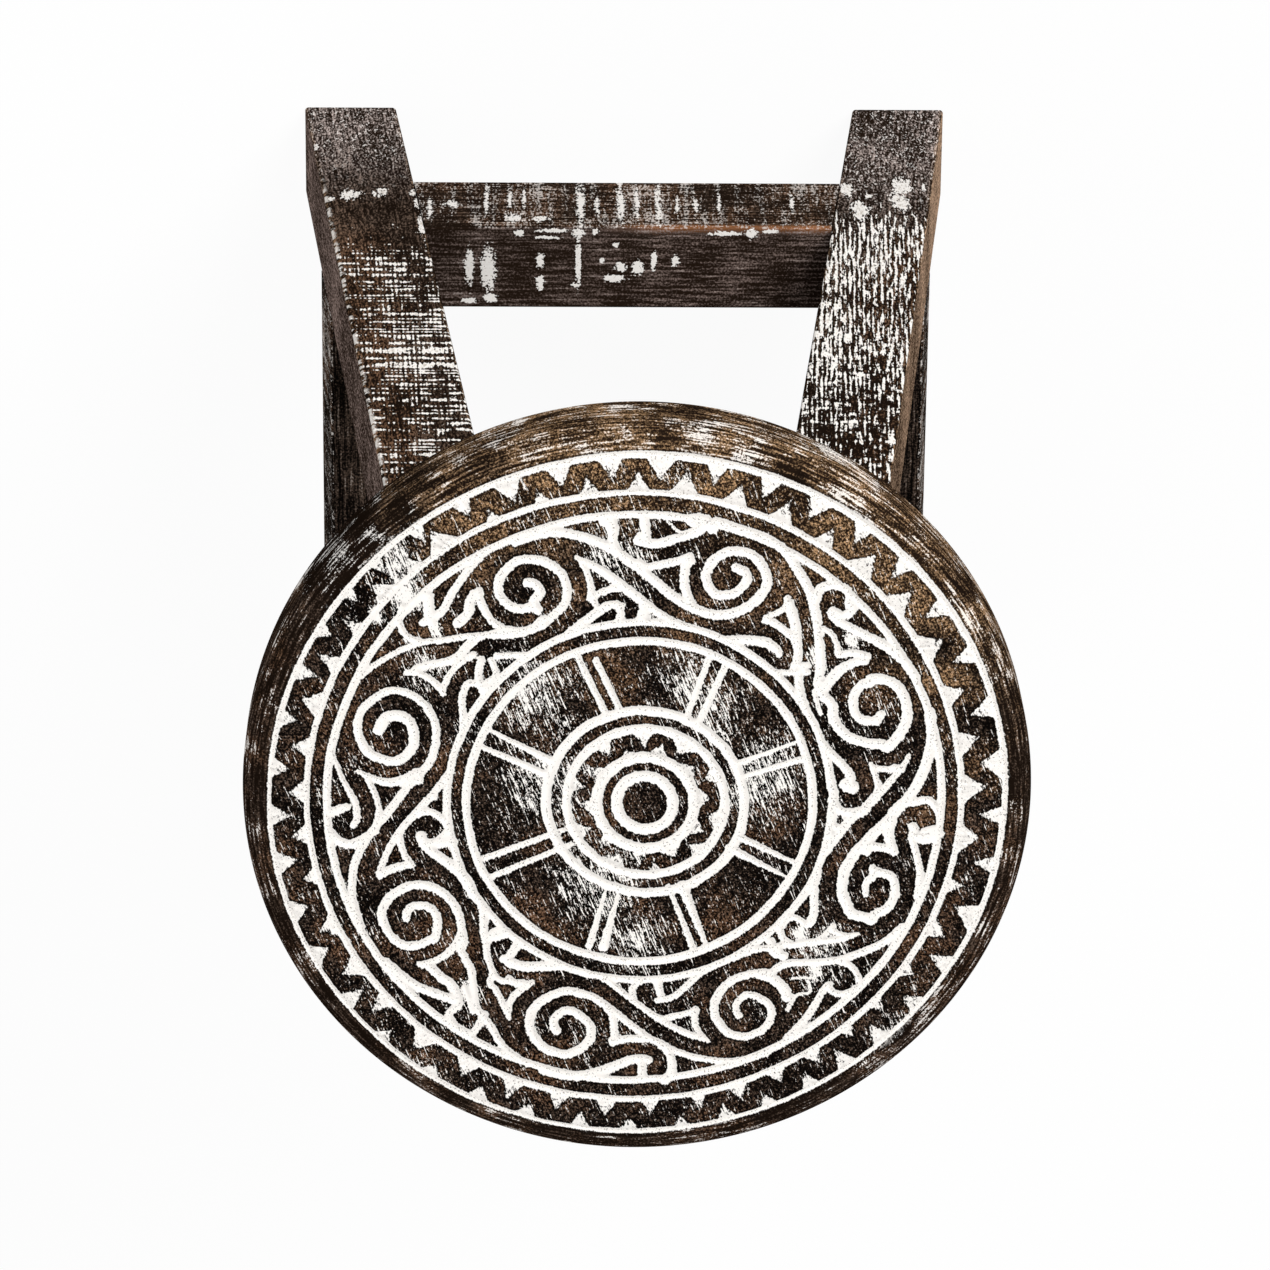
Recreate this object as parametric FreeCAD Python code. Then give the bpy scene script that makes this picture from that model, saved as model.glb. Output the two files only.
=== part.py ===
import FreeCAD, Part
import math
import os

# Four-legged stool with a round carved seat, in millimetres.
# The floor is z = 0, the seat's axis is Z, and the front is at -Y.

# Driving dimensions
seat_diameter = 300.0
seat_height = 450.0
seat_thickness = 32.0
foot_spread = 281.0
leg_width = 40.0
leg_angle = 6.6
rail_depth = 36.0
rail_height = 47.0
stretcher_height = 80.0

# Edges
seat_top_rounding = 10.0
seat_bottom_chamfer = 4.0
leg_rounding = 1.6
rail_chamfer = 1.0

# Tenons on the ends of every rail, and the gap round them in the legs
tenon_thickness = 12.0
tenon_length = 15.0
tenon_shoulder = 6.0
fit_gap = 0.2

# Screws along the side stretchers, under round fillings in the faces of the legs
screw_diameter = 4.5
screw_head_diameter = 8.6
screw_head_height = 3.2
end_screw_length = 54.0
end_screw_height_share = 0.3
filling_diameter = 9.6
filling_depth = 6.0

# Eight-sided wooden pins across the tenons
pin_width = 6.0
pin_length = 33.0
front_pin_height_share = 0.6
side_pin_height_share = 0.4

# A screw up through the middle of each top rail into the seat
seat_screw_length = 68.0

# Carving in the seat's top: each ring as shares of the seat's radius and of the groove's width
groove_depth = 1.2
groove_width = 3.3
ring_shares = {
    "rim": (0.928, 0.7),
    "teeth": (0.829, 0.8),
    "band_outside": (0.776, 1.0),
    "band_inside": (0.489, 1.0),
    "wheel": (0.439, 1.0),
    "hub": (0.250, 1.2),
    "hub_teeth_outside": (0.200, 1.1),
    "hub_teeth_inside": (0.124, 1.2),
    "hub_middle": (0.072, 1.3),
}

# Teeth cut inwards and outwards from the rings on each side of them
rim_tooth_count = 43
rim_tooth_depth = 9.5
rim_tooth_width = 6.4
hub_tooth_count = 10
hub_tooth_depth = 5.6
hub_tooth_width = 5.0

# Pairs of spokes between the hub and the wheel
spoke_pair_count = 8
spoke_offset_share = 0.5
spoke_spacing = 7.4
spoke_width = 2.5

# The running scroll, along and out from the middle of its band as shares of half the band's width:
# the half turns of its volute with their start and end in degrees, then its stem and its branch
scroll_count = 8
scroll_offset_share = 0.58
volute_centre_shares = (0.02, 0.1)
volute_turn_shares = ((0.63, 225, 360), (0.56, 0, 180), (0.34, 180, 330))
stem_shares = ((-2.90, 0.97), (-1.67, 0.50), (-0.42, -0.34))
branch_shares = ((0.90, 0.45), (1.77, -0.19), (3.05, -0.97))

# How far a cut runs past the face it opens
overrun = 2.0

# Worked out from the above
seat_underside = seat_height - seat_thickness
top_rail_height = seat_underside - rail_height
splay_per_height = math.tan(math.radians(leg_angle))
tenon_low = (rail_depth - tenon_thickness) / 2
tenon_high = tenon_low + tenon_thickness
pin_inset = leg_width - tenon_length / 2
groove_floor = seat_height - groove_depth


def outer_face(z):
    """How far the legs' outer faces are from the stool's axis at height z."""
    return foot_spread / 2 - z * splay_per_height


def polygon_face(points):
    return Part.Face(Part.makePolygon([*points, points[0]]))


def front_block(left, right, inset_y, z_low, z_high):
    """A block that leans back with the front of the stool.

    left and right give its ends for a height, and inset_y runs in from the legs' front faces.
    """
    ends = [(left, z_low), (right, z_low), (right, z_high), (left, z_high)]
    outline = [FreeCAD.Vector(end(z), inset_y[0] - outer_face(z), z) for end, z in ends]
    return polygon_face(outline).extrude(FreeCAD.Vector(0, inset_y[1] - inset_y[0], 0))


def leg_block(inset_x, inset_y, z_low, z_high):
    """A block that leans with the front right leg, its insets measured from the leg's outer faces."""
    return front_block(
        lambda z: outer_face(z) - inset_x[1], lambda z: outer_face(z) - inset_x[0], inset_y, z_low, z_high
    )


def rail_block(inset_end, inset_y, z_low, z_high):
    """A block across the front of the stool, its ends at an inset from the legs' outer faces."""
    return front_block(
        lambda z: inset_end - outer_face(z), lambda z: outer_face(z) - inset_end, inset_y, z_low, z_high
    )


def mirror(shape, x, y):
    return shape.mirror(FreeCAD.Vector(0, 0, 0), FreeCAD.Vector(x, y, 0))


def turned(shape, degrees):
    copy = shape.copy()
    copy.rotate(FreeCAD.Vector(0, 0, 0), FreeCAD.Vector(0, 0, 1), degrees)
    return copy


def turned_copies(shape, count, offset_share=0):
    """Copies of a shape evenly round the stool's axis, moved on by a share of their spacing."""
    return [turned(shape, (number + offset_share) * 360 / count) for number in range(count)]


def four_corners(shape):
    """The shape at the front right leg, and its mirror images at the other three."""
    return {
        "front_right": shape,
        "front_left": mirror(shape, 1, 0),
        "back_right": mirror(shape, 0, 1),
        "back_left": mirror(mirror(shape, 1, 0), 0, 1),
    }


def all_corners(shapes):
    return [copy for shape in shapes for copy in four_corners(shape).values()]


def long_edges(shape, least_length):
    return [edge for edge in shape.Edges if edge.Length > least_length]


# Screws, pins and fillings
def screw(length, gap):
    """A countersunk screw along Z with its head at the origin."""
    radius = screw_diameter / 2 + gap
    head_radius = screw_head_diameter / 2 + gap
    head_end = screw_head_height + gap
    outline = [(0, -gap), (head_radius, -gap), (radius, head_end), (radius, length + gap), (0, length + gap)]
    profile = polygon_face([FreeCAD.Vector(r, 0, z) for r, z in outline])
    return profile.revolve(FreeCAD.Vector(0, 0, 0), FreeCAD.Vector(0, 0, 1), 360)


def along_y(shape, x, y, z):
    """Turn a shape made along +Z to point along +Y, into the front of a leg."""
    placed = shape.copy()
    placed.rotate(FreeCAD.Vector(0, 0, 0), FreeCAD.Vector(1, 0, 0), -90)
    placed.translate(FreeCAD.Vector(x, y, z))
    return placed


def end_screw_place():
    z = stretcher_height + rail_height * end_screw_height_share
    return outer_face(z) - rail_depth / 2, -outer_face(z), z


def end_screw(gap):
    x, y, z = end_screw_place()
    return along_y(screw(end_screw_length, gap), x, y + filling_depth, z)


def filling_bore(gap):
    """The bore over a screw head, from outside the leg down to the head."""
    x, y, z = end_screw_place()
    bore = Part.makeCylinder(filling_diameter / 2 + gap, filling_depth + overrun)
    return along_y(bore, x, y - overrun, z)


def flush_with_leg(shape):
    """What a shape has inside the front right leg's leaning faces."""
    return shape.common(leg_block((0, leg_width), (0, leg_width), 0, seat_underside))


def front_pin(z, gap):
    """An eight-sided pin into the front of the front right leg at height z, longer than it ends up."""
    corner = (pin_width / 2 + gap) / math.cos(math.pi / 8)
    angles = [math.pi / 8 + math.pi / 4 * number for number in range(8)]
    outline = [FreeCAD.Vector(corner * math.cos(angle), corner * math.sin(angle), 0) for angle in angles]
    rod = polygon_face(outline).extrude(FreeCAD.Vector(0, 0, pin_length + overrun + gap))
    return along_y(rod, outer_face(z) - pin_inset, -outer_face(z) - overrun, z)


def stretcher_pins(gap):
    """The pin of a stretcher's joint at the front right leg."""
    return [front_pin(stretcher_height + rail_height * front_pin_height_share, gap)]


def top_rail_pins(gap):
    """The pins of the two top rails at the front right leg, from its front and from its side."""
    from_front = front_pin(top_rail_height + rail_height * front_pin_height_share, gap)
    from_side = mirror(front_pin(top_rail_height + rail_height * side_pin_height_share, gap), 1, 1)
    return [from_front, from_side]


def seat_screws(gap):
    """Four screws pointing up, one through the middle of each top rail."""
    rail_middle = outer_face(top_rail_height + rail_height / 2) - rail_depth / 2
    one = screw(seat_screw_length, gap)
    one.translate(FreeCAD.Vector(0, -rail_middle, top_rail_height))
    return turned_copies(one, 4)


# Legs and rails
def mortises(level):
    """The two slots that a leg has for the rails at one level."""
    across = (tenon_low - fit_gap, tenon_high + fit_gap)
    inward = (leg_width - tenon_length - fit_gap, leg_width + overrun)
    z_low = level + tenon_shoulder - fit_gap
    z_high = level + rail_height - tenon_shoulder + fit_gap
    return [leg_block(inward, across, z_low, z_high), leg_block(across, inward, z_low, z_high)]


def make_leg():
    leg = leg_block((0, leg_width), (0, leg_width), 0, seat_underside)
    leg = leg.makeFillet(leg_rounding, long_edges(leg, seat_underside / 2))
    screw_hole = [end_screw(fit_gap), filling_bore(fit_gap)]
    pin_holes = stretcher_pins(fit_gap) + top_rail_pins(fit_gap)
    return leg.cut(mortises(stretcher_height) + mortises(top_rail_height) + screw_hole + pin_holes)


def make_front_rail(level):
    """A rail across the front, flush with the legs' front faces, with a tenon on each end."""
    rail = rail_block(leg_width, (0, rail_depth), level, level + rail_height)
    rail = rail.makeChamfer(rail_chamfer, long_edges(rail, leg_width * 2))
    z_low = level + tenon_shoulder
    z_high = level + rail_height - tenon_shoulder
    tongue = rail_block(leg_width - tenon_length, (tenon_low, tenon_high), z_low, z_high)
    return rail.fuse(tongue).removeSplitter()


# Carving tools, each from the floor of the grooves to above the seat
def groove_block(face):
    return face.extrude(FreeCAD.Vector(0, 0, groove_depth + overrun))


def ring_radius(name):
    return seat_diameter / 2 * ring_shares[name][0]


def ring_groove(name):
    half_width = groove_width * ring_shares[name][1] / 2
    height = groove_depth + overrun
    base = FreeCAD.Vector(0, 0, groove_floor)
    outside = Part.makeCylinder(ring_radius(name) + half_width, height, base)
    return outside.cut(Part.makeCylinder(ring_radius(name) - half_width, height, base))


def teeth(radius, depth, width, count, offset_share):
    """A band of pointed cuts that start at a radius and point in, or out where depth is negative."""
    corners = [(radius, -width / 2), (radius, width / 2), (radius - depth, 0)]
    tooth = groove_block(polygon_face([FreeCAD.Vector(x, y, groove_floor) for x, y in corners]))
    return turned_copies(tooth, count, offset_share)


def spokes():
    inside, outside = ring_radius("hub"), ring_radius("wheel")
    pair = []
    for middle in (-spoke_spacing / 2, spoke_spacing / 2):
        low, high = middle - spoke_width / 2, middle + spoke_width / 2
        corners = [(inside, low), (outside, low), (outside, high), (inside, high)]
        pair.append(groove_block(polygon_face([FreeCAD.Vector(x, y, groove_floor) for x, y in corners])))
    return [copy for spoke in pair for copy in turned_copies(spoke, spoke_pair_count, spoke_offset_share)]


def arc_groove(start, middle, end):
    """A groove of the full width along the arc through three points."""
    centre = Part.Arc(start, middle, end).toShape().Curve.Center
    sides = []
    for side in (-groove_width / 2, groove_width / 2):
        sides.append([point + (point - centre).normalize() * side for point in (start, middle, end)])
    inner, outer = sides
    edges = [
        Part.Arc(*inner).toShape(),
        Part.LineSegment(inner[2], outer[2]).toShape(),
        Part.Arc(*reversed(outer)).toShape(),
        Part.LineSegment(outer[0], inner[0]).toShape(),
    ]
    return groove_block(Part.Face(Part.Wire(edges)))


def scroll():
    """The grooves of one scroll of the band: the turns of its volute, its stem and its branch."""
    middle_radius = (ring_radius("band_outside") + ring_radius("band_inside")) / 2
    half_band = (ring_radius("band_outside") - ring_radius("band_inside")) / 2

    def band_point(along, out):
        """A point of the band, its first share measured round the stool's axis."""
        angle = along * half_band / middle_radius
        radius = middle_radius + out * half_band
        return FreeCAD.Vector(-radius * math.sin(angle), -radius * math.cos(angle), groove_floor)

    stem = arc_groove(*[band_point(*share) for share in stem_shares])
    branch = arc_groove(*[band_point(*share) for share in branch_shares])
    grooves = [stem, branch]
    centre_along = volute_centre_shares[0] * half_band
    centre_out = middle_radius + volute_centre_shares[1] * half_band
    last_radius = 0
    for share, start, end in volute_turn_shares:
        radius = share * half_band
        if last_radius:
            centre_along += (last_radius - radius) * math.cos(math.radians(start))
        points = []
        for degrees in (start, (start + end) / 2, end):
            along = centre_along + radius * math.cos(math.radians(degrees))
            out = centre_out + radius * math.sin(math.radians(degrees))
            points.append(FreeCAD.Vector(-along, -out, groove_floor))
        grooves.append(arc_groove(*points))
        last_radius = radius
    return grooves


def carving():
    tools = [ring_groove(name) for name in ring_shares]
    tools += teeth(ring_radius("rim"), rim_tooth_depth, rim_tooth_width, rim_tooth_count, 0)
    tools += teeth(ring_radius("teeth"), -rim_tooth_depth, rim_tooth_width, rim_tooth_count, 1 / 2)
    hub_outside, hub_inside = ring_radius("hub_teeth_outside"), ring_radius("hub_teeth_inside")
    tools += teeth(hub_outside, hub_tooth_depth, hub_tooth_width, hub_tooth_count, 0)
    tools += teeth(hub_inside, -hub_tooth_depth, hub_tooth_width, hub_tooth_count, 1 / 2)
    tools += spokes()
    for groove in scroll():
        tools += turned_copies(groove, scroll_count, scroll_offset_share)
    return tools


def make_seat():
    disc = Part.makeCylinder(seat_diameter / 2, seat_thickness, FreeCAD.Vector(0, 0, seat_underside))
    top_edge = [edge for edge in disc.Edges if edge.BoundBox.ZMin > seat_height - overrun]
    disc = disc.makeFillet(seat_top_rounding, top_edge)
    bottom_edge = [edge for edge in disc.Edges if edge.BoundBox.ZMax < seat_underside + overrun]
    disc = disc.makeChamfer(seat_bottom_chamfer, bottom_edge)
    return disc.cut(seat_screws(fit_gap)).cut(carving()).removeSplitter()


# All pieces
parts = {"seat": make_seat()}
for corner, leg in four_corners(make_leg()).items():
    parts["leg_" + corner] = leg

front_pin_holes = all_corners(stretcher_pins(fit_gap))
end_screw_holes = all_corners([end_screw(fit_gap)])
top_rail_holes = all_corners(top_rail_pins(fit_gap)) + seat_screws(fit_gap)
for number, side in enumerate(("front", "right", "back", "left")):
    stretcher_holes = front_pin_holes if side in ("front", "back") else end_screw_holes
    parts["stretcher_" + side] = turned(make_front_rail(stretcher_height), 90 * number).cut(stretcher_holes)
    parts["top_rail_" + side] = turned(make_front_rail(top_rail_height), 90 * number).cut(top_rail_holes)

flush_stretcher_pins = [flush_with_leg(pin) for pin in stretcher_pins(0)]
flush_top_rail_pins = [flush_with_leg(pin) for pin in top_rail_pins(0)]
parts["stretcher_screws"] = Part.makeCompound(all_corners([end_screw(0)]))
parts["stretcher_screw_fillings"] = Part.makeCompound(all_corners([flush_with_leg(filling_bore(0))]))
parts["stretcher_tenon_pins"] = Part.makeCompound(all_corners(flush_stretcher_pins))
parts["top_rail_tenon_pins"] = Part.makeCompound(all_corners(flush_top_rail_pins))
parts["seat_screws"] = Part.makeCompound(seat_screws(0))

os.makedirs("parts", exist_ok=True)
for name, shape in parts.items():
    shape.exportStep("parts/" + name + ".step")
    print(name, len(shape.Solids), "solid(s)", "valid" if shape.isValid() else "NOT VALID")
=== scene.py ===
import math

import bpy
from mathutils import Matrix, Vector


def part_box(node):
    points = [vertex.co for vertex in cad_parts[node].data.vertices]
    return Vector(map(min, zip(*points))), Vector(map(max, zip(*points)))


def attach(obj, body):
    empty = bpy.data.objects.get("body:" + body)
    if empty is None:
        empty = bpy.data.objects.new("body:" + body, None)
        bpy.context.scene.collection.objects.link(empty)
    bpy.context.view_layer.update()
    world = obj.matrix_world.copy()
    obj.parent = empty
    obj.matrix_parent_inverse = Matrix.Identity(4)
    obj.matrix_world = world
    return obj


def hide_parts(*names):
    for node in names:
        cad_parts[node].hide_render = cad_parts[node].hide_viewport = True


# A round carved stool on four splayed legs. Lengths are in metres, or in millimetres times mm. The finishes
# and the tables of marks work in plain millimetres.
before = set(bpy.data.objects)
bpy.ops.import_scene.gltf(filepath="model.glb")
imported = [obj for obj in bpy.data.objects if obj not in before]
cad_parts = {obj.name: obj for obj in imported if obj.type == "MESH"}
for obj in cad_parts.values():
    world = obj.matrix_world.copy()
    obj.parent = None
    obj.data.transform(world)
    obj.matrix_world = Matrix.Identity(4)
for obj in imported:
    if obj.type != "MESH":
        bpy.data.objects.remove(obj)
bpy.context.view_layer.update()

mm = 0.001
seat_low, seat_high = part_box("seat")
seat_radius = (seat_high[0] - seat_low[0]) / 2
seat_top = seat_high[2]
seat_underside = seat_low[2]
foot_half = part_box("leg_front_right")[1][0]
leg_width = 40 * mm
leg_lean = math.tan(math.radians(6.6))
stretcher_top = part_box("stretcher_front")[1][2]


# Writing node trees as sums
class Field:
    """A socket in a node tree that can be added, multiplied and compared."""

    def __init__(self, tree, socket):
        self.tree = tree
        self.socket = socket

    def sum_with(self, operation, *others):
        node = self.tree.add("ShaderNodeMath", dict(enumerate((self, *others))), operation=operation)
        return self.tree.field(node.outputs[0])

    def __add__(self, other):
        return self.sum_with("ADD", other)

    def __sub__(self, other):
        return self.sum_with("SUBTRACT", other)

    def __mul__(self, other):
        return self.sum_with("MULTIPLY", other)

    def __truediv__(self, other):
        return self.sum_with("DIVIDE", other)

    def above(self, other):
        return self.sum_with("GREATER_THAN", other)

    def highest(self, other):
        return self.sum_with("MAXIMUM", other)

    def lowest(self, other):
        return self.sum_with("MINIMUM", other)

    def size(self):
        return self.sum_with("ABSOLUTE")

    def sine(self):
        return self.sum_with("SINE")

    def root(self):
        return self.sum_with("SQRT")

    def flipped(self):
        """One minus the field."""
        return self.tree.constant(1.0).sum_with("SUBTRACT", self)

    def step(self, low, high):
        """Rises smoothly from 0 at low to 1 at high."""
        node = self.tree.add(
            "ShaderNodeMapRange", {"Value": self, "From Min": low, "From Max": high},
            interpolation_type="SMOOTHSTEP",
        )
        return self.tree.field(node.outputs[0])


class Tree:
    """A shader or geometry tree with short ways to add nodes and link them."""

    def __init__(self, tree):
        self.nodes = tree.nodes
        self.links = tree.links

    def field(self, socket):
        return Field(self, socket)

    def constant(self, number):
        node = self.nodes.new("ShaderNodeValue")
        node.outputs[0].default_value = number
        return self.field(node.outputs[0])

    def feed(self, socket, value):
        if isinstance(value, Field):
            self.links.new(value.socket, socket)
        elif isinstance(value, bpy.types.NodeSocket):
            self.links.new(value, socket)
        else:
            socket.default_value = value

    def add(self, kind, inputs=None, **settings):
        node = self.nodes.new(kind)
        for name, value in settings.items():
            setattr(node, name, value)
        for name, value in (inputs or {}).items():
            self.feed(node.inputs[name], value)
        return node

    def vector(self, x, y, z):
        node = self.add("ShaderNodeCombineXYZ", {0: x, 1: y, 2: z})
        return self.field(node.outputs[0])

    def parts(self, vector):
        node = self.add("ShaderNodeSeparateXYZ", {0: vector})
        return [self.field(output) for output in node.outputs]

    def vector_math(self, operation, *inputs, **named):
        """The outputs of an operation on vectors, which are given in order, with other inputs by name."""
        node = self.add("ShaderNodeVectorMath", {**dict(enumerate(inputs)), **named}, operation=operation)
        return node.outputs

    def noise(self, vector, scale=1.0, detail=2.0, roughness=0.6, output="Fac"):
        node = self.add(
            "ShaderNodeTexNoise",
            {"Vector": vector, "Scale": scale, "Detail": detail, "Roughness": roughness},
        )
        return self.field(node.outputs[output])

    def blend(self, share, first, second):
        """A colour between two others."""
        node = self.add("ShaderNodeMix", {0: share, 6: first, 7: second}, data_type="RGBA")
        return self.field(node.outputs[2])


def swings(*noises):
    """How far each noise is above or below its middle."""
    return [noise - 0.5 for noise in noises]


def new_object(name, data):
    made = bpy.data.objects.new(name, data)
    bpy.context.scene.collection.objects.link(made)
    return made


def colour(red, green, blue):
    """A colour as a screen shows it, from 0 to 255, made linear."""
    linear = [
        share / 12.92 if share <= 0.04045 else ((share + 0.055) / 1.055) ** 2.4
        for share in (red / 255, green / 255, blue / 255)
    ]
    return (*linear, 1.0)


# Finishes: colours, how they shine, and how deep their relief is
white_paste = colour(246, 242, 237)
dull_paste = colour(205, 195, 184)
black_stain = colour(8, 6, 5)
brown_shadow = colour(34, 24, 17)
painted_shade_brown = colour(84, 68, 57)
grey_brown = colour(118, 99, 86)
mid_brown = colour(140, 106, 82)
mauve_brown = colour(178, 155, 146)
pale_mauve = colour(216, 198, 190)
lit_side_warm_grey = colour(214, 178, 148)
rust_brown = colour(186, 124, 82)
golden_brown = colour(222, 178, 132)
dark_steel = colour(120, 118, 114)
bright_steel = colour(170, 168, 164)
wood_shine = {"Roughness": 0.7, "Specular IOR Level": 0.0}
steel_shine = {"Roughness": 0.42, "Metallic": 1.0}
seat_relief = 0.2 * mm
stock_relief = 0.25 * mm
screw_relief = 0.1 * mm


def new_material(name):
    material = bpy.data.materials.new(name)
    material.use_nodes = True
    tree = Tree(material.node_tree)
    tree.nodes.clear()
    return material, tree


def finish_material(tree, tint, height, relief, shine=wood_shine, strength=1.0):
    """The shader of every finish: its colour, its relief, and how rough and shiny it is."""
    bump = tree.add("ShaderNodeBump", {"Strength": strength, "Distance": relief, "Height": height})
    shader = tree.add("ShaderNodeBsdfPrincipled", {"Base Color": tint, "Normal": bump.outputs[0], **shine})
    tree.add("ShaderNodeOutputMaterial", {"Surface": shader.outputs[0]})


def place_in_millimetres(tree):
    place = tree.add("ShaderNodeTexCoord").outputs["Object"]
    return tree.field(tree.vector_math("SCALE", place, Scale=1 / mm)[0])


def marks(tree, first, second, places):
    """How far inside the nearest of several marks a place is, 1 at its middle and 0 at its edge."""
    highest = tree.constant(-1.0)
    for middle_first, middle_second, half_first, half_second in places:
        off_first = (first - middle_first) / half_first
        off_second = (second - middle_second) / half_second
        highest = highest.highest((off_first * off_first + off_second * off_second).root().flipped())
    return highest


# The grain of the seat's board runs this far sideways and back. Its rim begins and ends at these radii.
grain_sideways = -0.36
grain_back = 0.93
rim_begins = 137.0
rim_ends = 142.0
# Where the rim stays dark, without the gold of wear and painted sheen: middle sideways and back, half width and half
# length
dark_rim_places = [(112, -98, 36, 26)]


def make_seat_material():
    """Dark stain with white paste in the carving, rubbed over in places, and gold, partly wear and partly a painted
    sheen, towards the rim, the front and the right.
    """
    material, tree = new_material("carved_seat_stain")
    place = place_in_millimetres(tree)
    x, y, z = tree.parts(place)
    along = x * grain_sideways + y * grain_back
    across = x * grain_back - y * grain_sideways
    radius = (x * x + y * y).root()
    groove, middle, rubbed, streaky = (
        tree.field(tree.add("ShaderNodeAttribute", attribute_name=name).outputs["Fac"])
        for name in ("groove", "middle", "rubbed", "streaky")
    )

    flecks = tree.noise(tree.vector(along * 0.42, across * 1.9, z * 1.9))
    streaks = tree.noise(tree.vector(along * 0.15, across * 1.45, z * 1.45))
    grit = tree.noise(place, 1.35)
    clouds = tree.noise(place, 0.045, 3.0, 0.55)
    drifts = tree.noise(place, 0.11, roughness=0.5)
    turned = tree.vector(x / radius * 9.0, y / radius * 9.0, (radius - z) * 0.65)
    turning = tree.noise(turned, detail=3.0)
    fleck_swing, streak_swing, grit_swing, cloud_swing, drift_swing = swings(flecks, streaks, grit, clouds, drifts)
    on_top = radius.step(rim_begins, rim_ends).flipped()
    on_rim = on_top.flipped()

    ragged = groove + (grit_swing + fleck_swing)
    pores = (grit + middle * -0.12).step(0.53, 0.59) * ragged.step(0.5, 0.9)
    paste_left = ragged.step(-0.07, 0.19) * (pores * 0.7).flipped()

    brushed = (flecks * 0.7 + grit * 0.3 + drift_swing * 0.22 + streaky * 0.11).step(0.632, 0.662)
    streaked = (streaks + drift_swing * 0.22 + streaky * 0.18 + grit_swing * 0.35).step(0.665, 0.71)
    patches = (rubbed * 1.2 + fleck_swing * 1.6 + grit_swing * 1.3 + streak_swing * 1.3).step(0.68, 0.79)
    # Gold wear and painted sheen: lighter towards the front and right, the side the main lamp is on.
    worn = (y * -0.0075 - x * 0.002 + cloud_swing * 1.6 + drift_swing * 0.8 - 0.15).step(0.0, 1.0)
    dark_rim = (marks(tree, x, y, dark_rim_places) + drift_swing * 1.6).step(0.0, 0.5)
    scuffs = turning * 0.65 + grit * 0.35 + cloud_swing * 0.4 + drift_swing * 0.3 + worn * 0.035
    scuffs = (scuffs + dark_rim * 0.02).step(0.595, 0.645)
    scratched = brushed.highest(streaked) * on_top + scuffs * on_rim * 0.8
    white = paste_left.highest(scratched).highest(patches)

    # Painted sheen with wear: the gold is strongest towards the rim and lightens both the dark and the light tones.
    gold_wear_and_sheen = worn * (radius.step(95.0, 128.0) * 0.7 + 0.3) * dark_rim.flipped()
    shade = on_top * (flecks * 0.35 + grit * 0.65) + on_rim * (turning * 0.55 + grit * 0.45)
    shade = shade + cloud_swing * 0.25 + on_rim * gold_wear_and_sheen * 0.01 - dark_rim * 0.05
    stained = (groove + grit_swing * 0.8).step(-1.0, -0.25)
    shade = shade.step(0.465, 0.71) * (stained * 0.75).flipped()
    low = tree.blend(gold_wear_and_sheen.highest(on_rim * 0.5), black_stain, brown_shadow)
    high = tree.blend((clouds + drift_swing * 0.5).step(0.42, 0.62), grey_brown, mid_brown)
    high = tree.blend(gold_wear_and_sheen, high, golden_brown)
    brown = tree.blend(shade, low, high)
    tint = tree.blend(white, brown, tree.blend(grit.step(0.20, 0.38), dull_paste, white_paste))
    finish_material(tree, tint, flecks * 0.4 + grit * 0.3 + white * 0.15, seat_relief)
    return material


def lean_insets(tree, x, y, z):
    """How far a place is in from the legs' outer faces, sideways and front to back, in millimetres."""
    reach = z * -leg_lean + foot_half / mm
    return reach - x.size(), reach - y.size()


# Pitches of the saw marks on the legs, up the leg and across it
row_pitch = 4.6
column_pitch = 1.9
# Pale blotches on the legs' faces at stretcher height: middle sideways and up, half width and half height
leg_blotches = [
    (119, 94, 4.5, 8.5), (104.5, 92, 3.4, 6.5), (91, 92, 2.4, 6), (126, 99, 2, 3.5), (89, 100, 2.2, 14),
    (87, 126, 2.2, 15), (134, 44, 1.6, 5), (-118, 83, 6, 12), (-117, 101, 4.6, 11), (-94, 87, 4, 10),
    (-99, 108, 5, 15), (-127, 85, 1.6, 6), (-103, 94, 2.4, 3), (-86, 112, 2, 12),
]


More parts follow.
